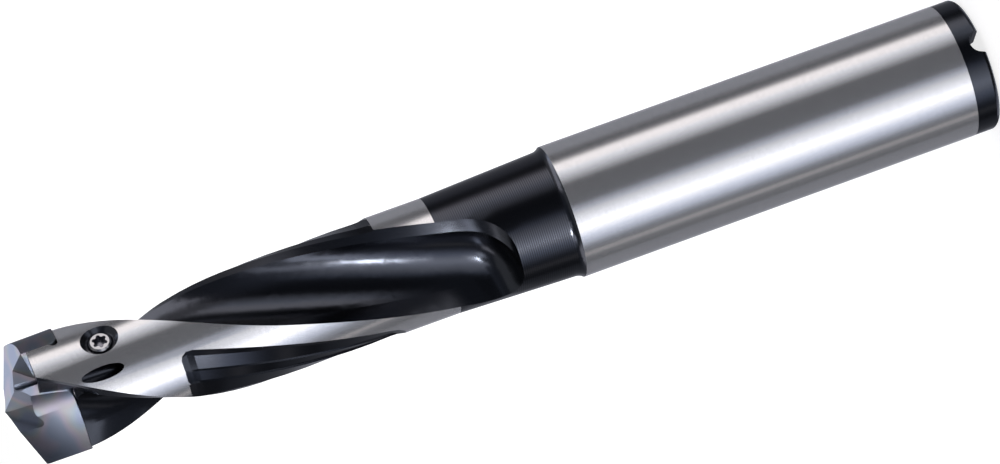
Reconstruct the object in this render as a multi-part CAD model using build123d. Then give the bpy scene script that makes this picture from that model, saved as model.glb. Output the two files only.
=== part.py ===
from build123d import *
import os
from math import acos, atan2, ceil, cos, degrees, radians, sin, tan

# The drill stands on its shank end: z is 0 on the end face and the point is up.
# Angles are polar angles about +Z, in degrees. The photographed side faces -Y.

# Lengths along the drill
overall_length = 150.7
shank_length = 65.3
end_band_length = 3.75
end_rim_length = 0.8
neck_blend_length = 1.3
neck_length = 19.0
point_length = 5.35
jaw_depth = 4.75

# Diameters
shank_diameter = 20.0
end_band_diameter = 19.96
end_rim_diameter = 17.6
neck_diameter = 19.0
body_diameter = 17.6
cutting_diameter = 18.2

# Flutes: the helix is steady along the rear and steepens towards the point
rear_helix_angle = 17.5
front_helix_angle = 31.2
steepening_length = 42.3
lead_edge_phase = -104.8
web_thickness = 6.0
flute_arc_radius = 6.4
land_angle = 83.3
rake_side_angle = 45.6
heel_drop = 1.2
flute_end_to_shank = 15.5

# Recess milled in each land, from its margin to its heel
recess_front_to_seat = 15.35
recess_rear_to_shank = 27.4
recess_margin_angle = 20.0
recess_corner_radius = 2.0
recess_depths = (0.59, 0.42, 0.18)
recess_step_angles = (6.5, 21.0, 34.0)
recess_step_width = 1.5
recess_open_angle = 75.0

# Coolant supply
inlet_diameter = 8.0
inlet_depth = 15.0
inlet_chamfer = 0.6
main_bore_diameter = 4.0
main_bore_past_shank = 1.7
web_bore_diameter = 2.6
coolant_hole_diameter = 2.0
coolant_hole_angle = 18.2
coolant_exit_to_seat = 4.3
coolant_exit_phase = -86.5
end_slot_width = 3.5
end_slot_depth = 2.0
end_slot_phase = -73.3

# Slot and tip
plate_phase = 163.0
plate_thickness = 6.0
plate_clearance = 0.05
lip_slope = 0.482
flank_slope = 0.19
trailing_radius = 8.8
rear_lip_angle = 73.0
corner_lip_angle = 62.0
corner_to_seat = 7.0
rake_start = 1.65
rake_hollow = 0.25
hollow_seat_depth = 0.35
hollow_slope = 0.12
gash_start = (0.43, -0.1)
gash_drop = 0.1
gash_way = (2.4, 2.0, -4.3)
gash_tilt = 10.0
gash_opening = 122.0
gash_root_radius = 1.4
gash_wall_phase = 64.5
gash_wall_lean = 25.5
heel_notch_start = 4.0
heel_floor_drop = 0.1
heel_floor_fall = 0.2
heel_floor_slope = 44.8
heel_wall_phase = 130.7
heel_wall_lean = 15.7
key_slot_start = 3.6
key_slot_width = 0.75
key_slot_length = 3.1
key_slot_depth = 1.1
tip_corner_radius = 1.0
seat_relief_radius = 0.6
tang_diameter = 4.6
tang_length = 10.8
tang_clearance = 0.05
tang_chamfer = 0.5

# Chip gullet in front of each jaw
gullet_margin = 0.2
gullet_length = 4.4
gullet_end_start = 1.2
gullet_edge_shift = 2.0
gullet_past = 0.3

# Clamp screw across the tang
screw_to_seat = 5.55
screw_phase = -53.0
screw_thread_diameter = 2.5
screw_head_diameter = 3.3
screw_head_height = 1.0
screw_head_bevel = 0.25
screw_cone_height = 0.8
screw_length = 12.6
screw_tip_chamfer = 0.4
screw_clearance = 0.05
screw_sink = 0.6
sink_radius = 2.8
sink_slope = 45.0
socket_diameter = 2.3
socket_lobe_radius = 0.3
socket_depth = 0.9

# Heights and radii that follow from these
jaw_front_height = overall_length - point_length
seat_height = jaw_front_height - jaw_depth
corner_height = seat_height + corner_to_seat
steepening_height = overall_length - steepening_length
flute_end_height = shank_length + flute_end_to_shank
recess_front_height = seat_height - recess_front_to_seat
recess_rear_height = shank_length + recess_rear_to_shank
main_bore_height = shank_length + main_bore_past_shank
coolant_exit_height = seat_height - coolant_exit_to_seat
screw_height = seat_height - screw_to_seat
shank_radius = shank_diameter / 2
body_radius = body_diameter / 2
cutting_radius = cutting_diameter / 2
clear_radius = shank_radius + 4


def polar(radius, angle, z=0.0):
    """A point at a radius and a polar angle in degrees."""
    return Vector(radius * cos(radians(angle)), radius * sin(radians(angle)), z)


def turned(solid, angle):
    """The solid turned about the drill's axis."""
    return Rotation(0, 0, angle) * solid


def pair(solid):
    """The solid and its copy half a turn round."""
    return [solid, turned(solid, 180)]


def steps(first, last, count):
    """Evenly spaced values from first to last."""
    return [first + (last - first) * i / (count - 1) for i in range(count)]


# Helix

def helix_rate(helix_angle):
    """Degrees of twist for each millimetre of height, on the body's surface."""
    return degrees(tan(radians(helix_angle)) / body_radius)


def lead_edge_angle(z):
    """Polar angle of the first land's leading edge at a height."""
    rear = helix_rate(rear_helix_angle)
    span = steepening_length
    angle = lead_edge_phase + rear * (z - steepening_height)
    t = (z - steepening_height) / span
    if t > 0:
        angle += (helix_rate(front_helix_angle) - rear) * span * (t ** 2 - t ** 3 / 3)
    return angle


# Flutes

arc_centre = web_thickness / 2 + flute_arc_radius
heel_side_angle = 180 - land_angle - rake_side_angle


def flute_section(z, arc_radius):
    """Outline of one flute at a height: rake wall, arc floor and heel facet."""
    centre = Vector(arc_centre, 0, 0)
    to_edge = polar(body_radius, -rake_side_angle) - centre
    lean = degrees(acos(flute_arc_radius / to_edge.length))
    touch = degrees(atan2(to_edge.Y, to_edge.X)) - lean
    heel_radius = body_radius - heel_drop
    reach = arc_centre ** 2 + flute_arc_radius ** 2 - heel_radius ** 2
    heel_turn = 180 - degrees(acos(reach / (2 * arc_centre * flute_arc_radius)))
    heel_corner = centre + polar(flute_arc_radius, heel_turn)
    heel_way = (polar(body_radius, heel_side_angle) - heel_corner).normalized()
    rake_foot = centre + polar(arc_radius, touch)
    heel_foot = centre + polar(arc_radius, heel_turn)
    floor = centre - Vector(arc_radius, 0, 0)
    rake_out = rake_foot + polar(flute_arc_radius + 2, touch + 90)
    heel_out = heel_foot + heel_way * flute_arc_radius
    far_heel = Vector(clear_radius, heel_out.Y, 0)
    far_rake = Vector(clear_radius, rake_out.Y, 0)
    wire = Wire([
        Edge.make_line(rake_out, rake_foot),
        Edge.make_three_point_arc(rake_foot, floor, heel_foot),
        Edge.make_line(heel_foot, heel_out),
        Edge.make_line(heel_out, far_heel),
        Edge.make_line(far_heel, far_rake),
        Edge.make_line(far_rake, rake_out),
    ])
    return Pos(0, 0, z) * Rotation(0, 0, lead_edge_angle(z) + rake_side_angle) * wire


def flute():
    """One flute, with the ball-shaped end that the cutter leaves in the neck."""
    sections = []
    for turn in (83, 62, 42, 21):
        z = flute_end_height - flute_arc_radius * sin(radians(turn))
        sections.append(flute_section(z, flute_arc_radius * cos(radians(turn))))
    count = ceil((overall_length - flute_end_height) / 4)
    for z in steps(flute_end_height, overall_length + 2, count):
        sections.append(flute_section(z, flute_arc_radius))
    return Solid.make_loft(sections)


# Land recesses

def recess_edge_angle(z):
    """Polar angle of the recess's edge beside the margin."""
    rear = helix_rate(rear_helix_angle)
    return lead_edge_phase - recess_margin_angle + rear * (z - steepening_height)


def recess_section(z, depth_share, inset):
    """Stepped outline of the recess, at a share of its depth and set in from its edge."""
    first, second, third = recess_step_angles
    deep, middle, shallow = (body_radius - depth * depth_share for depth in recess_depths)
    start = degrees(inset / body_radius)
    points = [
        (start, body_radius),
        (start + first * depth_share, deep),
        (second, deep),
        (second + recess_step_width, middle),
        (third, middle),
        (third + recess_step_width, shallow),
        ((third + recess_open_angle) / 2, shallow),
        (recess_open_angle, shallow),
        (recess_open_angle, body_radius + 1),
        ((start + recess_open_angle) / 2, body_radius + 3),
        (start, body_radius + 1),
    ]
    edge = recess_edge_angle(z)
    corners = [polar(radius, edge - angle, z) for angle, radius in points]
    return Wire.make_polygon(corners, close=True)


def recess_end(wall_height, inward):
    """Sloping end of the recess with its rounded corner; inward is +1 or -1 along z."""
    sections = []
    for turn in (0, 30, 60, 80):
        z = wall_height + inward * recess_corner_radius * (1 - sin(radians(turn)))
        inset = recess_corner_radius * (1 - cos(radians(turn)))
        sections.append(recess_section(z, 1 - sin(radians(turn)), inset))
    return Solid.make_loft(sections, ruled=True)


def recess():
    """One recess: a helical run between two sloping ends."""
    rear = recess_rear_height + recess_corner_radius
    front = recess_front_height - recess_corner_radius
    run = Solid.make_loft([recess_section(z, 1, 0) for z in steps(rear, front, 9)])
    return [run, recess_end(recess_rear_height, 1), recess_end(recess_front_height, -1)]


# Holder

def turned_blank():
    """The bar as turned: end rim, end band, shank, blend, tapered neck and body."""
    band_radius = end_band_diameter / 2
    neck_radius = neck_diameter / 2
    neck_start = shank_length + neck_blend_length
    rim = TangentArc((end_rim_diameter / 2, 0), (band_radius, end_rim_length), tangent=(1, 0))
    shank = Polyline(
        (band_radius, end_rim_length),
        (band_radius, end_band_length),
        (shank_radius, end_band_length),
        (shank_radius, shank_length),
    )
    blend = TangentArc((neck_radius, neck_start), (shank_radius, shank_length), tangent=(0, -1))
    front = Polyline(
        (neck_radius, neck_start),
        (body_radius, shank_length + neck_length),
        (body_radius, jaw_front_height),
        (0, jaw_front_height),
        (0, 0),
        (end_rim_diameter / 2, 0),
    )
    outline = make_face([*rim.edges(), *shank.edges(), *blend.edges(), *front.edges()])
    return revolve(Plane.XZ * outline, Axis.Z)


def coolant_channels():
    """Inlet, main bore, bore through the web and the two slanting outlets."""
    web_top = coolant_exit_height - body_radius / tan(radians(coolant_hole_angle))
    inlet_rim = inlet_diameter / 2 + inlet_chamfer
    rim_cone = Solid.make_cone(inlet_rim, inlet_diameter / 2, inlet_chamfer)
    inlet = Solid.make_cylinder(inlet_diameter / 2, inlet_depth)
    main_bore = Solid.make_cylinder(main_bore_diameter / 2, main_bore_height)
    web_bore = Solid.make_cylinder(web_bore_diameter / 2, web_top + coolant_hole_diameter / 2)
    fork = polar(0, 0, web_top)
    outlet_way = polar(body_radius, coolant_exit_phase, coolant_exit_height) - fork
    outlet_length = outlet_way.length + coolant_hole_diameter * 2
    outlet = Solid.make_cylinder(
        coolant_hole_diameter / 2, outlet_length, Plane(origin=fork, z_dir=outlet_way)
    )
    return [rim_cone, inlet, main_bore, web_bore, *pair(outlet)]


def end_slot():
    """Round-bottomed slot right across the end face, which lets coolant in past a stop."""
    radius = end_slot_width / 2
    length = shank_diameter + 2
    root = Plane.YZ * Pos(0, end_slot_depth - radius) * Circle(radius)
    mouth = Plane.YZ * Pos(0, -radius) * Rectangle(end_slot_width, 2 * end_slot_depth)
    cutter = extrude(root + mouth, length / 2, both=True)
    return turned(cutter, end_slot_phase)


def tip_slot():
    """Slot for the plate, its relieved corners and the round pocket for the tang."""
    width = plate_thickness + 2 * plate_clearance
    length = 2 * clear_radius
    height = overall_length - seat_height
    slot = Pos(0, 0, seat_height + height / 2) * Box(length, width, height)
    pocket_radius = tang_diameter / 2 + tang_clearance
    pocket_floor = seat_height - tang_length - tang_clearance
    pocket = Pos(0, 0, pocket_floor) * Solid.make_cylinder(pocket_radius, height + tang_length)
    cuts = [slot, pocket]
    for side in (-1, 1):
        corner = Pos(0, side * width / 2, seat_height + seat_relief_radius)
        cuts.append(corner * Rotation(0, 90, 0) * Cylinder(seat_relief_radius, length))
    return [turned(cut, plate_phase) for cut in cuts]


def hollow_start(z):
    """Where the hollow leaves the plate's flat side at a height."""
    depth = hollow_seat_depth + hollow_slope * (z - seat_height)
    return rake_start - (2 * flute_arc_radius * depth - depth ** 2) ** 0.5


def gullet_section(z):
    """Outline of a jaw's chip gullet, in the plate's own frame."""
    fall = max(0, (seat_height - z) / gullet_length)
    inner = hollow_start(max(z, seat_height)) - gullet_margin
    half = plate_thickness / 2
    start = Vector(
        inner + (gullet_end_start - inner) * fall,
        half + (body_radius + gullet_past - half) * fall,
        z,
    )
    heel_angle = lead_edge_angle(z) + 180 + rake_side_angle + heel_side_angle - plate_phase
    heel = polar(body_radius, heel_angle - gullet_edge_shift, z)
    past = heel + (heel - start).normalized() * gullet_past
    corners = [
        start,
        past,
        polar(clear_radius, degrees(atan2(past.Y, past.X)), z),
        Vector(0, clear_radius, z),
        Vector(clear_radius, clear_radius, z),
        Vector(clear_radius, start.Y, z),
    ]
    return Wire.make_polygon(corners, close=True)


def gullet():
    """Chip gullet in front of a jaw, running out into the flute's heel."""
    heights = steps(seat_height - gullet_length, seat_height, 5)
    heights += steps(seat_height, jaw_front_height + 1.8, 4)[1:]
    cutter = Solid.make_loft([gullet_section(z) for z in heights], ruled=True)
    return turned(cutter, plate_phase)


def screw_plane(radius):
    """Plane across the screw's axis at a radius, facing outwards."""
    return Plane(origin=polar(radius, screw_phase, screw_height), z_dir=polar(1, screw_phase))


def screw_hole(deepest):
    """Countersink, head bore, seat cone and shank bore, with clearance all round."""
    face = body_radius - screw_sink
    head = screw_head_diameter / 2 + screw_clearance
    shank = screw_thread_diameter / 2 + screw_clearance
    seat = face - screw_head_height - screw_clearance
    past = sink_radius + 1
    sink_foot = body_radius - (sink_radius - head) / tan(radians(sink_slope))
    outline = Polyline(
        (0, deepest),
        (shank, deepest),
        (shank, seat - screw_cone_height),
        (head, seat),
        (head, sink_foot),
        (past, sink_foot + (past - head) / tan(radians(sink_slope))),
        (0, sink_foot + (past - head) / tan(radians(sink_slope))),
        close=True,
    )
    cutter = revolve(Plane.XZ * make_face(outline.edges()), Axis.Z)
    return screw_plane(0) * cutter


def holder():
    body = turned_blank()
    cuts = [*pair(flute())]
    for piece in recess():
        cuts.extend(pair(piece))
    cuts.extend(coolant_channels())
    cuts.append(end_slot())
    cuts.extend(tip_slot())
    cuts.extend(pair(gullet()))
    cuts.append(screw_hole(body_radius - screw_sink - screw_length - screw_clearance * 4))
    for cut in cuts:
        body = body - cut
    return body


# Replaceable tip, drawn in the plate's own frame: x along the slot, y across it

def tip_section(z):
    """Outline across the tip: flats, hollows, rake faces, lip corners and relieved sides."""
    half = plate_thickness / 2
    twist = (rear_lip_angle - corner_lip_angle) / (corner_height - seat_height)
    corner = polar(cutting_radius, 90 - rear_lip_angle + twist * (z - seat_height))
    trailing = Vector((trailing_radius ** 2 - half ** 2) ** 0.5, -half)
    start = Vector(hollow_start(z), half)
    foot = Vector(rake_start, half - hollow_seat_depth - hollow_slope * (z - seat_height))
    centre = foot + Vector(0, flute_arc_radius)
    bend = (start - centre).normalized() + (foot - centre).normalized()
    hollow_middle = centre + bend.normalized() * flute_arc_radius
    chord = corner - foot
    rake_middle = foot + chord * 0.5 + Vector(chord.Y, -chord.X).normalized() * rake_hollow
    side_middle = (corner + trailing).normalized() * ((cutting_radius + trailing_radius) / 2)
    edges = []
    for flip in (1, -1):
        edges.append(Edge.make_line(trailing * -flip, start * flip))
        edges.append(Edge.make_three_point_arc(start * flip, hollow_middle * flip, foot * flip))
        edges.append(Edge.make_three_point_arc(foot * flip, rake_middle * flip, corner * flip))
        edges.append(Edge.make_three_point_arc(corner * flip, side_middle * flip, trailing * flip))
    return Pos(0, 0, z) * Wire(edges)


def half_space(origin, normal):
    """A large block on the side of a plane that its normal points to."""
    size = 4 * cutting_radius
    return Plane(origin=origin, z_dir=normal) * Pos(0, 0, size / 2) * Box(size, size, size)


def flank():
    """What the clearance face behind a lip leaves out."""
    return half_space(Vector(0, 0, overall_length), Vector(lip_slope, -flank_slope, 1))


def heel_notch():
    """What the notch behind a lip leaves out: a sloping floor and a steep side wall."""
    corner = Vector(-heel_notch_start, plate_thickness / 2, jaw_front_height)
    floor_normal = Vector(heel_floor_fall, tan(radians(heel_floor_slope)), 1)
    wall_normal = polar(1, heel_wall_phase, tan(radians(heel_wall_lean)))
    floor = half_space(corner - Vector(0, 0, heel_floor_drop), floor_normal)
    return floor & half_space(corner, wall_normal)


def key_slot():
    """Round-fronted slot for the mounting key, open towards the jaw."""
    half = plate_thickness / 2
    radius = key_slot_width / 2
    front = jaw_front_height + key_slot_length - radius
    floor = Vector(-key_slot_start, half - key_slot_depth, front)
    reach = front - seat_height
    plane = Plane(origin=floor, x_dir=(1, 0, 0), z_dir=(0, 1, 0))
    outline = Circle(radius) + Pos(0, reach / 2) * Rectangle(key_slot_width, reach)
    return extrude(plane * outline, 2 * key_slot_depth)


def gash():
    """V with a rounded root and a flat wall, which thins the web beside the chisel edge."""
    start = Vector(*gash_start, overall_length - gash_drop)
    along = Vector(*gash_way).normalized()
    level = Vector(-1, 0, 0)
    across = (level - along * level.dot(along)).normalized()
    plane = Plane(origin=start - along * cutting_radius, x_dir=across, z_dir=along)
    reach = 2 * cutting_radius
    outline = Polyline(polar(reach, gash_tilt), (0, 0), polar(reach, gash_tilt + gash_opening))
    far = Polyline(outline @ 1, (0, 2 * reach), outline @ 0)
    sector = make_face([*outline.edges(), *far.edges()])
    root = sector.vertices().sort_by_distance(Vector(0, 0, 0))[0]
    sector = fillet(root, gash_root_radius)
    wall_normal = polar(1, gash_wall_phase, tan(radians(gash_wall_lean)))
    wall = half_space(Vector(0, 0, overall_length - gash_drop), wall_normal)
    return extrude(plane * sector, 3 * cutting_radius) & wall


def seat_corner():
    """What the rounding of a rear edge leaves out, beside the tang."""
    half = plate_thickness / 2
    radius = tip_corner_radius
    square = Pos(-half + radius / 2, seat_height + radius / 2) * Rectangle(radius, radius)
    rounding = Pos(-half + radius, seat_height + radius) * Circle(radius)
    return extrude(Plane.YZ * (square - rounding), 2 * cutting_radius, both=True)


def tang():
    """Round tang with a chamfered end and the screw's cross hole."""
    radius = tang_diameter / 2
    end = seat_height - tang_length
    outline = Polyline(
        (0, end),
        (radius - tang_chamfer, end),
        (radius, end + tang_chamfer),
        (radius, seat_height + tang_chamfer),
        (0, seat_height + tang_chamfer),
        close=True,
    )
    return revolve(Plane.XZ * make_face(outline.edges()), Axis.Z)


def replaceable_tip():
    heights = steps(seat_height, overall_length + 1, 5)
    tip = Solid.make_loft([tip_section(z) for z in heights])
    for cutter in (flank(), heel_notch(), key_slot(), gash(), seat_corner()):
        for cut in pair(cutter):
            tip = tip - cut
    tip = turned(tip + tang(), plate_phase)
    return tip - screw_hole(-screw_length)


# Clamp screw

def socket():
    """Six-lobe socket."""
    lobe_radius = socket_diameter / 2 - socket_lobe_radius
    profile = Circle(lobe_radius)
    for i in range(6):
        profile = profile + Pos(polar(lobe_radius, 60 * i)) * Circle(socket_lobe_radius)
    return extrude(profile, -socket_depth)


def clamp_screw():
    head = screw_head_diameter / 2
    shank = screw_thread_diameter / 2
    outline = Polyline(
        (0, 0),
        (head - screw_head_bevel, 0),
        (head, -screw_head_bevel),
        (head, -screw_head_height),
        (shank, -screw_head_height - screw_cone_height),
        (shank, -screw_length + screw_tip_chamfer),
        (shank - screw_tip_chamfer, -screw_length),
        (0, -screw_length),
        close=True,
    )
    body = revolve(Plane.XZ * make_face(outline.edges()), Axis.Z) - socket()
    return screw_plane(body_radius - screw_sink) * body


os.makedirs("parts", exist_ok=True)
for build_node in (holder, replaceable_tip, clamp_screw):
    export_step(build_node(), "parts/" + build_node.__name__ + ".step")
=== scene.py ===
from math import cos, degrees, pi, radians, sin

import bpy
from mathutils import Matrix, Vector

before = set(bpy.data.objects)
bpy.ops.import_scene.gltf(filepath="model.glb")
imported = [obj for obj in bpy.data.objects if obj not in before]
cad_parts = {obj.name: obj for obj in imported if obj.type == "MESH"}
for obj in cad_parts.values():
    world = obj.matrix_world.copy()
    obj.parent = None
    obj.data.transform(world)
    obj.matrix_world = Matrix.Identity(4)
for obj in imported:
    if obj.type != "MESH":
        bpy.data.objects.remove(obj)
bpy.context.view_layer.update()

# Heights and radii on the drill, in metres
end_band_height = 0.00375
shank_height = 0.0653
neck_top_height = 0.0843
shank_radius = 0.010
land_radius = 0.0088

# Width over which one finish gives way to the next, in metres
finish_edge = 0.00002

# A ground surface faces straight out from the axis: the cosine of the angle by which it may
# turn away from that, where it starts to count and where it counts fully
facing_limits = (0.955, 0.965)

# Clamp screw: direction of its axis in degrees, then its height, its head's face, its socket, and the
# depth at which the painted shade in the socket is full, in metres
screw_phase = -53.0
screw_height = 0.13505
screw_face = 0.0082
socket_radius = 0.00122
socket_shade_depth = 4 * finish_edge

# Marks of turning, milling and grinding, in metres. The slant is the share of the way round
# that is added to the way up.
grain_size = 0.00014
turning_pitch = 0.00032
turning_height = 0.000004
milling_pitch = 0.0006
milling_length = 30 * milling_pitch
milling_height = 0.000003
milling_slant = 0.8
grinding_width = grain_size / 2
grinding_length = 20 * grain_size
grinding_height = 0.000001
coating_height = 0.00000075

# Colours of each finish, from its darkest to its palest grain, and how much the steel's grain adds to
# its grinding lines. The neck's pair is painted shade and painted highlight: dark and pale stripes
# along its turning ridges.
steel_colors = ((0.70, 0.70, 0.715), (0.88, 0.875, 0.885))
oxide_colors = ((0.062, 0.068, 0.082), (0.074, 0.080, 0.096))
# Painted shade and painted highlight of the neck's turning ridges, from the dark to the pale stripe
turning_light_and_shade_colors = ((0.045, 0.048, 0.058), (0.095, 0.101, 0.118))
zinc_colors = ((0.50, 0.50, 0.52), (0.66, 0.66, 0.68))
# Painted shade inside the screw's socket
socket_shade_color = (0.25, 0.25, 0.28)
grain_contrast = 2.0

# Tints of the tip's coating, each with its place in the drift, and the drift's waves per metre
coating_tints = (
    (0.34, (0.185, 0.21, 0.265)),
    (0.45, (0.25, 0.23, 0.275)),
    (0.52, (0.245, 0.238, 0.25)),
    (0.58, (0.205, 0.235, 0.26)),
    (0.66, (0.18, 0.205, 0.27)),
)
coating_drift = 260.0

# Roughness, between two values where the grain changes it
steel_roughness = 0.17
oxide_roughness = (0.17, 0.25)
coating_roughness = (0.36, 0.46)
zinc_roughness = (0.2, 0.3)

# Share of the ground steel that scatters light and doesn't mirror it
ground_scatter = 0.15

# Camera: level across the standing drill, rolled so that the point is at the lower left.
# Places in metres, roll in degrees, lens and sensor in millimetres.
camera_place = Vector((0.0, -0.7716, 0.18945))
camera_aim = Vector((0.00027, 0.0, 0.07473))
camera_roll = 19.82
camera_lens = 194.06
camera_sensor = 36.0
camera_near = 0.01

# Studio wall round the drill, which lights it and shows in its reflections, but not to the camera.
# Each panel: start and end angle in degrees from the camera's side, tint, brightness at each edge.
# The low tier is what the shank and the lands mirror in the photo's view.
low_tier = (
    (-180, -154, "plain", 0.40, 0.28),
    (-154, -116, "plain", 0.20, 0.20),
    (-116, -99, "plain", 0.16, 0.02),
    (-99, -90, "plain", 0.02, 0.15),
    (-90, -82, "warm", 0.2, 1.05),
    (-82, -68, "warm", 1.2, 1.1),
    (-68, -41, "soft", 1.05, 0.08),
    (-41, -4, "cool", 0.03, 0.05),
    (-4, 8, "cool", 0.08, 0.52),
    (8, 30, "soft", 0.55, 1.4),
    (30, 42, "soft", 1.65, 1.65),
    (42, 50, "soft", 1.35, 1.1),
    (50, 72, "cool", 1.0, 0.2),
    (72, 84, "cool", 0.16, 0.05),
    (84, 93, "warm", 0.27, 0.27),
    (93, 110, "plain", 0.1, 0.03),
    (110, 154, "plain", 0.12, 0.18),
    (154, 180, "plain", 0.28, 0.40),
)
middle_tier = (
    (-180, -110, "plain", 0.2, 0.2),
    (-110, -50, "warm", 0.35, 0.35),
    (-50, 22, "cool", 0.06, 0.2),
    (22, 34, "soft", 0.9, 1.6),
    (34, 50, "cool", 0.15, 0.15),
    (50, 64, "soft", 3.4, 1.2),
    (64, 112, "cool", 0.12, 0.12),
    (112, 180, "plain", 0.15, 0.2),
)
high_tier = (
    (-180, -110, "plain", 2.4, 2.4),
    (-110, -40, "warm", 2.2, 1.6),
    (-40, 80, "cool", 0.1, 0.1),
    (80, 130, "warm", 1.5, 1.5),
    (130, 180, "plain", 1.5, 2.4),
)
dark_tier = ((-180, 180, "cool", 0.07, 0.07),)
deep_tier = (
    (-180, -150, "plain", 0.9, 0.9),
    (-150, -95, "cool", 0.12, 0.12),
    (-95, -45, "warm", 1.1, 0.9),
    (-45, 0, "cool", 0.08, 0.08),
    (0, 50, "soft", 0.5, 1.5),
    (50, 105, "cool", 0.15, 0.15),
    (105, 180, "plain", 0.5, 0.9),
)
panel_tints = {
    "plain": (0.94, 0.97, 1.10),
    "warm": (1.04, 0.985, 0.98),
    "soft": (0.97, 0.985, 1.05),
    "cool": (0.90, 0.97, 1.16),
}

# Degrees from one edge of the wall's mesh to the next
panel_step = 4

# The wall's radius, and the lower and upper edge of each tier, in metres
wall_radius = 1.3
wall_bottom = -2.5
wall_top = 1.5
wall_tiers = (
    (wall_bottom, -0.85, deep_tier),
    (-0.85, -0.45, dark_tier),
    (-0.45, 0.36, low_tier),
    (0.36, 0.74, middle_tier),
    (0.74, wall_top, high_tier),
)
disc_sides = 48
ceiling_brightness = 0.3
pit_brightness = 0.04

# Small lamp whose reflection is the spot in the flute's ball-shaped end, in metres and degrees
spot_distance = 0.98 * wall_radius
spot_angle = 41.0
spot_height = 0.25
spot_half_side = 0.06
spot_brightness = 60.0

# The floor glows white for the camera, and less near the drill's foot so that its shadow shows.
# The foot's reach is the distances from the axis between which one glow gives way to the other.
floor_half_side = 3.0
floor_height = -0.0001
floor_color = (0.9, 0.9, 0.9)
floor_glow = 1.42
foot_glow_share = 0.55
floor_glow_share = 0.85
foot_reach = (0.03, 0.15)

# The world is white where it is seen, and lights the floor beyond the wall at this brightness
white = (1.0, 1.0, 1.0)
world_brightness = 0.4


class Nodes:
    """Adds and links the nodes of one material or world."""

    # Places of the colour mixer's share, first and second colour, and of its result
    mixer_inputs = (0, 6, 7)
    mixer_output = 2

    def __init__(self, tree):
        self.tree = tree
        tree.nodes.clear()

    def feed(self, socket, value):
        """Link another node's output to a socket, or write a plain value or colour on it."""
        if isinstance(value, bpy.types.NodeSocket):
            self.tree.links.new(value, socket)
        elif socket.type == "RGBA":
            socket.default_value = (*value, 1.0)
        else:
            socket.default_value = value

    def add(self, kind, **values):
        """A new node; a capitalised name is one of its sockets, any other one of its settings."""
        node = self.tree.nodes.new("ShaderNode" + kind)
        for name, value in values.items():
            if name[0].isupper():
                self.feed(node.inputs[name.replace("_", " ")], value)
            else:
                setattr(node, name, value)
        return node

    def calculate(self, kind, operation, values):
        """Outputs of a calculating node whose inputs are given in order."""
        node = self.add(kind, operation=operation)
        for socket, value in zip(node.inputs, values):
            self.feed(socket, value)
        return node.outputs

    def math(self, operation, *values):
        """A number calculated from other numbers."""
        return self.calculate("Math", operation, values)["Value"]

    def vector(self, operation, *values):
        """A vector calculated from other vectors."""
        return self.calculate("VectorMath", operation, values)["Vector"]

    def measure(self, operation, *values):
        """A number calculated from vectors, such as a length."""
        return self.calculate("VectorMath", operation, values)["Value"]

    def ramp(self, value, low, high):
        """0 below low, 1 above high, and straight between."""
        return self.add("MapRange", Value=value, From_Min=low, From_Max=high).outputs["Result"]

    def mix_value(self, share, first, second):
        """first where the share is 0, second where it is 1."""
        return self.math("MULTIPLY_ADD", share, self.math("SUBTRACT", second, first), first)

    def mix(self, share, first, second):
        """first colour where the share is 0, second where it is 1."""
        node = self.add("Mix", data_type="RGBA")
        for place, value in zip(self.mixer_inputs, (share, first, second)):
            self.feed(node.inputs[place], value)
        return node.outputs[self.mixer_output]

    def surface(self, shader, kind="OutputMaterial"):
        """Make a shader the surface of the material or world."""
        self.add(kind, Surface=shader.outputs[0])


# Parts that the materials are made of

def new_material(name):
    material = bpy.data.materials.new(name)
    material.use_nodes = True
    return material, Nodes(material.node_tree)


def drill_place(nodes):
    """Place in the frame that all pieces share, in metres."""
    return nodes.add("TexCoord").outputs["Object"]


def split(nodes, vector):
    """The three parts of a vector."""
    return nodes.add("SeparateXYZ", Vector=vector).outputs


def axis_distance(nodes, x, y):
    """Distance from the drill's axis."""
    squares = nodes.math("ADD", nodes.math("POWER", x, 2.0), nodes.math("POWER", y, 2.0))
    return nodes.math("SQRT", squares)


def facing_share(nodes, x, y, radius):
    """1 where the surface faces straight out from the axis, 0 elsewhere."""
    normal_x, normal_y, _ = split(nodes, nodes.add("NewGeometry").outputs["True Normal"])
    outward = nodes.math("MULTIPLY_ADD", normal_x, x, nodes.math("MULTIPLY", normal_y, y))
    return nodes.ramp(nodes.math("DIVIDE", outward, radius), *facing_limits)


def between(nodes, value, low, high):
    """1 inside a range and 0 outside it, with soft edges."""
    rise = nodes.ramp(value, low - finish_edge / 2, low + finish_edge / 2)
    fall = nodes.ramp(value, high + finish_edge / 2, high - finish_edge / 2)
    return nodes.math("MULTIPLY", rise, fall)


def outermost(nodes, radius, nominal):
    """1 where the drill is as thick as a nominal radius, 0 further in."""
    return nodes.ramp(radius, nominal - 2 * finish_edge, nominal - finish_edge)


def ground_share(nodes, radius, z):
    """1 on the shank and on the lands."""
    on_shank = nodes.math(
        "MULTIPLY",
        outermost(nodes, radius, shank_radius),
        between(nodes, z, end_band_height, shank_height),
    )
    on_land = nodes.math(
        "MULTIPLY",
        outermost(nodes, radius, land_radius),
        nodes.ramp(z, neck_top_height - finish_edge, neck_top_height + finish_edge),
    )
    return nodes.math("MAXIMUM", on_shank, on_land)


def neck_share(nodes, radius, z):
    """1 on the tapered neck."""
    return nodes.math(
        "MULTIPLY",
        between(nodes, z, shank_height, neck_top_height),
        nodes.ramp(radius, land_radius, land_radius + finish_edge),
    )


def bump(nodes, height, distance, below=None):
    """A bump of a height field from 0 to 1, over an earlier bump."""
    node = nodes.add("Bump", Height=height, Distance=distance)
    if below is not None:
        nodes.feed(node.inputs["Normal"], below)
    return node.outputs["Normal"]


def waves(nodes, value, pitch):
    """A smooth wave from 0 to 1 with one period for each pitch of the value."""
    turn = nodes.math("MULTIPLY", value, 2 * pi / pitch)
    return nodes.math("MULTIPLY_ADD", nodes.math("SINE", turn), 0.5, 0.5)


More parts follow.
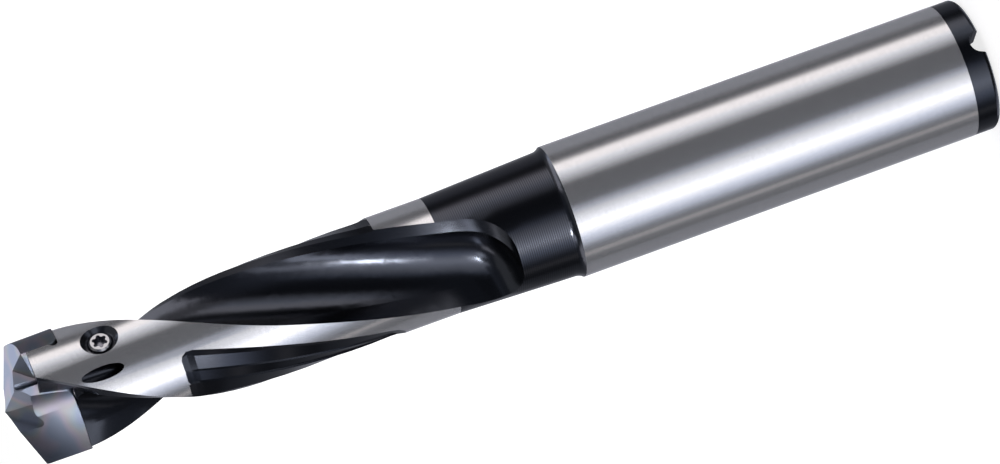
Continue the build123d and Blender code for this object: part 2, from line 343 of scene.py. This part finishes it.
def noise(nodes, vector, scale, detail, rough=0.5):
    """Smooth noise of about 0.5, with a scale in waves per unit of the vector."""
    node = nodes.add("TexNoise", Vector=vector, Scale=scale, Detail=detail, Roughness=rough)
    return node.outputs["Fac"]


def streaks(nodes, across, along, width, length):
    """Noise drawn out along one coordinate, for grinding and milling lines."""
    vector = nodes.add(
        "CombineXYZ",
        X=nodes.math("MULTIPLY", across, 1 / width),
        Y=nodes.math("MULTIPLY", along, 1 / length),
    )
    return noise(nodes, vector.outputs[0], 1.0, detail=3.0)


# Pieces of the studio

def link(piece):
    bpy.context.scene.collection.objects.link(piece)
    return piece


def mesh_piece(name, vertices, faces):
    mesh = bpy.data.meshes.new(name)
    mesh.from_pydata(vertices, [], faces)
    return link(bpy.data.objects.new(name, mesh))


def glowing_material():
    """Light of the brightness that each point of a piece carries."""
    material, nodes = new_material("studio_glow")
    shade = nodes.add("Attribute", attribute_name="brightness")
    nodes.surface(nodes.add("Emission", Color=shade.outputs["Color"]))
    return material


def wall_point(angle, z, radius=wall_radius):
    """Point round the drill's axis; the angle starts at the camera's side."""
    return (-radius * sin(radians(angle)), -radius * cos(radians(angle)), z)


def glowing_piece(name, vertices, faces, shades, material):
    """Piece of the studio that lights the drill and that the camera itself doesn't see."""
    piece = mesh_piece(name, vertices, faces)
    layer = piece.data.color_attributes.new("brightness", "FLOAT_COLOR", "POINT")
    for item, shade in zip(layer.data, shades):
        item.color = (*shade, 1.0)
    piece.data.materials.append(material)
    piece.visible_camera = False
    piece.visible_shadow = False


def studio_wall(material):
    """Panels of light and shade round the drill."""
    vertices, faces, shades = [], [], []
    for low, high, panels in wall_tiers:
        for start, end, tint, first, last in panels:
            count = max(1, round((end - start) / panel_step))
            base = len(vertices)
            for edge in range(count + 1):
                angle = start + (end - start) * edge / count
                shade = first + (last - first) * edge / count
                vertices += [wall_point(angle, low), wall_point(angle, high)]
                shades += [[shade * part for part in panel_tints[tint]]] * 2
            faces += [(i, i + 2, i + 3, i + 1) for i in range(base, base + 2 * count, 2)]
    glowing_piece("studio_wall", vertices, faces, shades, material)


def studio_disc(name, z, brightness, material):
    """Ceiling or pit that closes the studio wall."""
    rim = [wall_point(360 * i / disc_sides, z) for i in range(disc_sides)]
    shades = [[brightness] * 3] * disc_sides
    glowing_piece(name, rim, [tuple(range(disc_sides))], shades, material)


def spot_lamp(material):
    """Small square lamp just inside the wall."""
    half_angle = degrees(spot_half_side / spot_distance)
    corners = [
        wall_point(spot_angle + dx * half_angle, spot_height + dz * spot_half_side, spot_distance)
        for dx, dz in ((-1, -1), (1, -1), (1, 1), (-1, 1))
    ]
    shades = [[spot_brightness] * 3] * len(corners)
    glowing_piece("spot_lamp", corners, [(0, 1, 2, 3)], shades, material)


def floor_material():
    """White paper that glows for the camera and takes the drill's shadow."""
    material, nodes = new_material("studio_floor")
    x, y, _ = split(nodes, drill_place(nodes))
    away = nodes.ramp(axis_distance(nodes, x, y), *foot_reach)
    share = nodes.mix_value(away, foot_glow_share, floor_glow_share)
    seen = nodes.math("MULTIPLY", nodes.add("LightPath").outputs["Is Camera Ray"], share)
    paper = nodes.add("BsdfDiffuse", Color=floor_color)
    glow = nodes.add("Emission", Color=white, Strength=floor_glow)
    blend = nodes.add("MixShader")
    for socket, value in zip(blend.inputs, (seen, paper.outputs[0], glow.outputs[0])):
        nodes.feed(socket, value)
    nodes.surface(blend)
    return material


def studio_floor():
    corners = [
        (dx * floor_half_side, dy * floor_half_side, floor_height)
        for dx, dy in ((-1, -1), (1, -1), (1, 1), (-1, 1))
    ]
    floor = mesh_piece("studio_floor", corners, [(0, 1, 2, 3)])
    floor.data.materials.append(floor_material())
    floor.visible_glossy = False
    floor.visible_shadow = False


def studio_world():
    """White for the camera and in reflections, and dimmer as a light."""
    world = bpy.data.worlds.new("studio")
    world.use_nodes = True
    nodes = Nodes(world.node_tree)
    path = nodes.add("LightPath")
    seen = nodes.math("MAXIMUM", path.outputs["Is Camera Ray"], path.outputs["Is Glossy Ray"])
    seen = nodes.math("MAXIMUM", seen, path.outputs["Is Transmission Ray"])
    strength = nodes.mix_value(seen, world_brightness, 1.0)
    nodes.surface(nodes.add("Background", Color=white, Strength=strength), "OutputWorld")
    bpy.context.scene.world = world


def photo_camera():
    data = bpy.data.cameras.new("camera")
    data.lens = camera_lens
    data.sensor_width = camera_sensor
    data.clip_start = camera_near
    camera = link(bpy.data.objects.new("camera", data))
    forward = (camera_aim - camera_place).normalized()
    level = forward.cross(Vector((1, 0, 0))).normalized()
    upright = level.cross(forward)
    roll = radians(camera_roll)
    right = level * cos(roll) - upright * sin(roll)
    up = upright * cos(roll) + level * sin(roll)
    turn = Matrix((right, up, -forward)).transposed()
    camera.matrix_world = Matrix.Translation(camera_place) @ turn.to_4x4()
    bpy.context.scene.camera = camera


# Materials of the drill

def holder_material():
    """Black oxide all over, with the shank and the lands ground bright, and stripes of painted shade
    and highlight along the neck's turning ridges.
    """
    material, nodes = new_material("ground_steel_and_black_oxide")
    place = drill_place(nodes)
    x, y, z = split(nodes, place)
    radius = axis_distance(nodes, x, y)
    arc = nodes.math("MULTIPLY", nodes.math("ARCTAN2", y, x), radius)
    facing = facing_share(nodes, x, y, radius)
    bright = nodes.math("MULTIPLY", ground_share(nodes, radius, z), facing)
    black = nodes.math("SUBTRACT", 1.0, bright)
    on_neck = nodes.math("MULTIPLY", neck_share(nodes, radius, z), facing)

    grain = noise(nodes, place, 1 / grain_size, detail=4.0, rough=0.6)
    grinding = streaks(nodes, z, arc, grinding_width, grinding_length)
    turning = waves(nodes, z, turning_pitch)
    slanted = nodes.math("MULTIPLY_ADD", arc, milling_slant, z)
    milling = streaks(nodes, slanted, arc, milling_pitch, milling_length)

    speckle = nodes.math("MULTIPLY_ADD", nodes.math("SUBTRACT", grain, 0.5), grain_contrast, grinding)
    steel = nodes.mix(speckle, *steel_colors)
    # On the neck, the turning waves paint stripes of shade and highlight over the oxide, besides
    # their bump
    oxide = nodes.mix(on_neck, nodes.mix(grain, *oxide_colors), nodes.mix(turning, *turning_light_and_shade_colors))
    oxide_rough = nodes.mix_value(grain, *oxide_roughness)

    marks = bump(nodes, nodes.math("MULTIPLY", grinding, bright), grinding_height)
    marks = bump(nodes, nodes.math("MULTIPLY", turning, on_neck), turning_height, marks)
    marks = bump(nodes, nodes.math("MULTIPLY", milling, black), milling_height, marks)
    metal = nodes.add(
        "BsdfPrincipled",
        Base_Color=nodes.mix(bright, oxide, steel),
        Metallic=nodes.mix_value(bright, 1.0, 1.0 - ground_scatter),
        Roughness=nodes.mix_value(bright, oxide_rough, steel_roughness),
        Normal=marks,
    )
    nodes.surface(metal)
    return material


def tip_material():
    """Grey hard coating whose tint drifts between blue, rose and green."""
    material, nodes = new_material("coated_carbide")
    place = drill_place(nodes)
    tint = nodes.add("ValToRGB", Fac=noise(nodes, place, coating_drift, detail=0.0))
    stops = tint.color_ramp.elements
    while len(stops) < len(coating_tints):
        stops.new(1.0)
    for stop, (position, color) in zip(stops, coating_tints):
        stop.position = position
        stop.color = (*color, 1.0)

    grain = noise(nodes, place, 1 / grain_size, detail=3.0)
    metal = nodes.add(
        "BsdfPrincipled",
        Base_Color=tint.outputs[0],
        Metallic=1.0,
        Roughness=nodes.mix_value(grain, *coating_roughness),
        Normal=bump(nodes, grain, coating_height),
    )
    nodes.surface(metal)
    return material


def screw_material():
    """Bright zinc with painted shade in its socket."""
    material, nodes = new_material("zinc")
    place = drill_place(nodes)
    axis = (cos(radians(screw_phase)), sin(radians(screw_phase)), 0.0)
    from_centre = nodes.vector("SUBTRACT", place, (0.0, 0.0, screw_height))
    along = nodes.measure("DOT_PRODUCT", from_centre, axis)
    off_axis = nodes.measure("LENGTH", nodes.vector("CROSS_PRODUCT", from_centre, axis))
    # Painted shade: darker inside the socket, below the head's face
    socket_shade_mask = nodes.math(
        "MULTIPLY",
        nodes.ramp(along, screw_face - finish_edge, screw_face - socket_shade_depth),
        nodes.ramp(off_axis, socket_radius + finish_edge, socket_radius),
    )

    grain = noise(nodes, place, 1 / grain_size, detail=3.0)
    metal = nodes.add(
        "BsdfPrincipled",
        Base_Color=nodes.mix(socket_shade_mask, nodes.mix(grain, *zinc_colors), socket_shade_color),
        Metallic=1.0,
        Roughness=nodes.mix_value(grain, *zinc_roughness),
    )
    nodes.surface(metal)
    return material


def dress(node, material):
    """Give one of the frame's nodes its material, in every slot."""
    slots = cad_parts[node].data.materials
    for index in range(len(slots)):
        slots[index] = material


photo_camera()
studio_world()
studio_floor()
studio_glow = glowing_material()
studio_wall(studio_glow)
studio_disc("studio_ceiling", wall_top, ceiling_brightness, studio_glow)
studio_disc("studio_pit", wall_bottom, pit_brightness, studio_glow)
spot_lamp(studio_glow)
dress("holder", holder_material())
dress("replaceable_tip", tip_material())
dress("clamp_screw", screw_material())

bpy.context.scene.view_settings.view_transform = "Standard"
